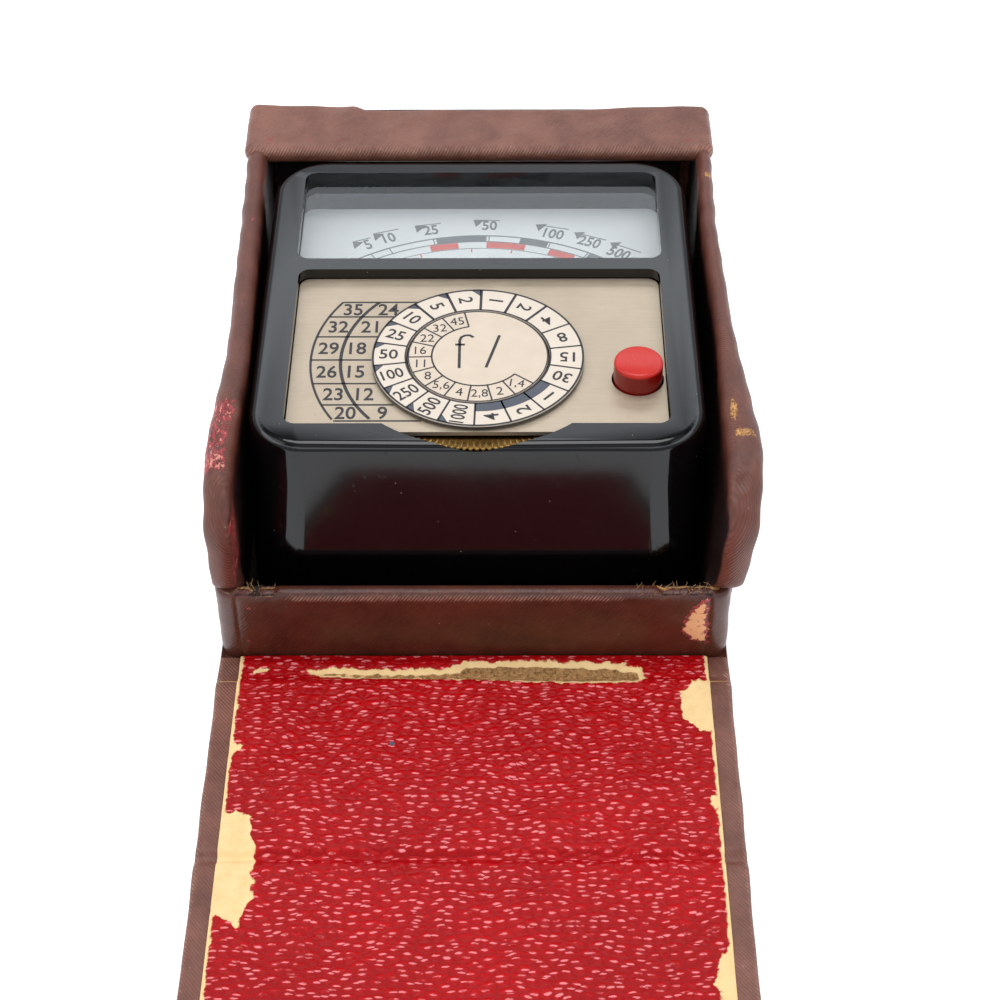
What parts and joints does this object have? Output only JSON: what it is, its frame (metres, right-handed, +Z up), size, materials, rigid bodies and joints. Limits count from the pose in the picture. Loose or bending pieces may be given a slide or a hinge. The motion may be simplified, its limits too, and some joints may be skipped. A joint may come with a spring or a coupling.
{
  "type": "selenium light meter in a hinged case",
  "caption": "Moulded pocket light meter with a turning calculator dial, red button and scale window, lying in a leatherette case whose jointed flap is open.",
  "frame": {"origin": "centre of the case's underside", "axes": "+Z up out of the dial, +Y towards the light that the cell faces, +X to the right of the reader, flap open towards -Y"},
  "size_m": [0.065, 0.2212, 0.0277],
  "materials": {
    "leatherette": "brown coated cloth, diagonal weave",
    "board": "tan strawboard",
    "red_lining": "red grained paper lining",
    "nickel_silver": "tarnished nickel silver",
    "silvered_dial": "silvered and printed",
    "black_moulding": "polished black moulding",
    "clear_glass": "clear",
    "white_scale": "printed card",
    "red_plastic": "satin red",
    "steel": "bright",
    "brass": "turned",
    "copper_coil": "enamelled wire",
    "cell_grey": "grey coated plate",
    "lead_sleeve": "sleeved wire",
    "pointer_black": "matt black"
  },
  "bodies": {
    "case": {"base_cover": "black_moulding", "base_screws": "steel", "body_shell": "black_moulding", "bottom_cover": "leatherette", "button_spring": "steel", "calculator_plate": "nickel_silver", "case_floor": "board", "cell_frame": "brass", "cell_leads": "lead_sleeve", "cell_window": "clear_glass", "centre_post": "brass", "contact_block": "black_moulding", "contact_posts": "brass", "contact_springs": "brass", "core": "steel", "core_support": "brass", "cover_hood": "leatherette", "cover_left": "leatherette", "cover_near": "leatherette", "cover_right": "leatherette", "f_number_disc": "silvered_dial", "floor_lining": "red_lining", "hood_top": "board", "jewel_screws": "steel", "lower_bridge": "brass", "lower_hairspring": "brass", "magnet": "steel", "movement_pillars": "brass", "pole_pieces": "steel", "scale_pillars": "brass", "scale_plate": "white_scale", "selenium_cell": "cell_grey", "series_resistor": "copper_coil", "snap_post": "nickel_silver", "upper_bridge": "brass", "upper_hairspring": "brass", "wall_far": "board", "wall_left": "board", "wall_near": "board", "wall_right": "board", "window_glass": "clear_glass"},
    "flap_front": {"front_cover": "leatherette", "front_board": "board", "front_lining": "red_lining"},
    "flap_top": {"top_cover": "leatherette", "top_board": "board", "top_lining": "red_lining"},
    "flap_end": {"end_cover": "leatherette", "end_board": "board", "end_lining": "red_lining", "snap_cap": "nickel_silver", "snap_socket": "nickel_silver"},
    "dial": {"thumb_wheel": "brass", "time_ring": "silvered_dial"},
    "button": {"red_button": "red_plastic", "contact_washer": "brass"},
    "needle": {"moving_coil": "copper_coil", "coil_pivots": "steel", "pointer": "pointer_black"},
    "zero": {"zero_adjuster": "brass"}
  },
  "joints": [
    {"name": "flap_front_fold", "type": "hinge", "parent": "case", "child": "flap_front", "pos_m": [0, -0.04255, 0.0006], "axis": [-1, 0, 0], "range_deg": [0, 90]},
    {"name": "flap_top_fold", "type": "hinge", "parent": "flap_front", "child": "flap_top", "pos_m": [0, -0.0711, 0.0006], "axis": [-1, 0, 0], "range_deg": [0, 90]},
    {"name": "flap_end_fold", "type": "hinge", "parent": "flap_top", "child": "flap_end", "pos_m": [0, -0.1557, 0.0006], "axis": [-1, 0, 0], "range_deg": [0, 90]},
    {"name": "dial_turn", "type": "hinge", "parent": "case", "child": "dial", "pos_m": [0.0005, -0.01234, 0.0247], "axis": [0, 0, 1], "continuous": true},
    {"name": "button_press", "type": "slide", "parent": "case", "child": "button", "axis": [0, 0, -1], "range_m": [0, 0.0016], "stiffness_N_per_m": 150, "springref_m": -0.001, "deforming": ["button_spring"]},
    {"name": "needle_swing", "type": "hinge", "parent": "case", "child": "needle", "pos_m": [0.0005, -0.01234, 0.0202], "axis": [0, 0, -1], "range_deg": [0, 95], "stiffness_Nm_per_rad": 0.00001, "deforming": ["upper_hairspring", "lower_hairspring"]},
    {"name": "zero_set", "type": "hinge", "parent": "case", "child": "zero", "pos_m": [0.0005, -0.01234, 0.003], "axis": [0, 0, 1], "range_deg": [-12, 12]}
  ]
}
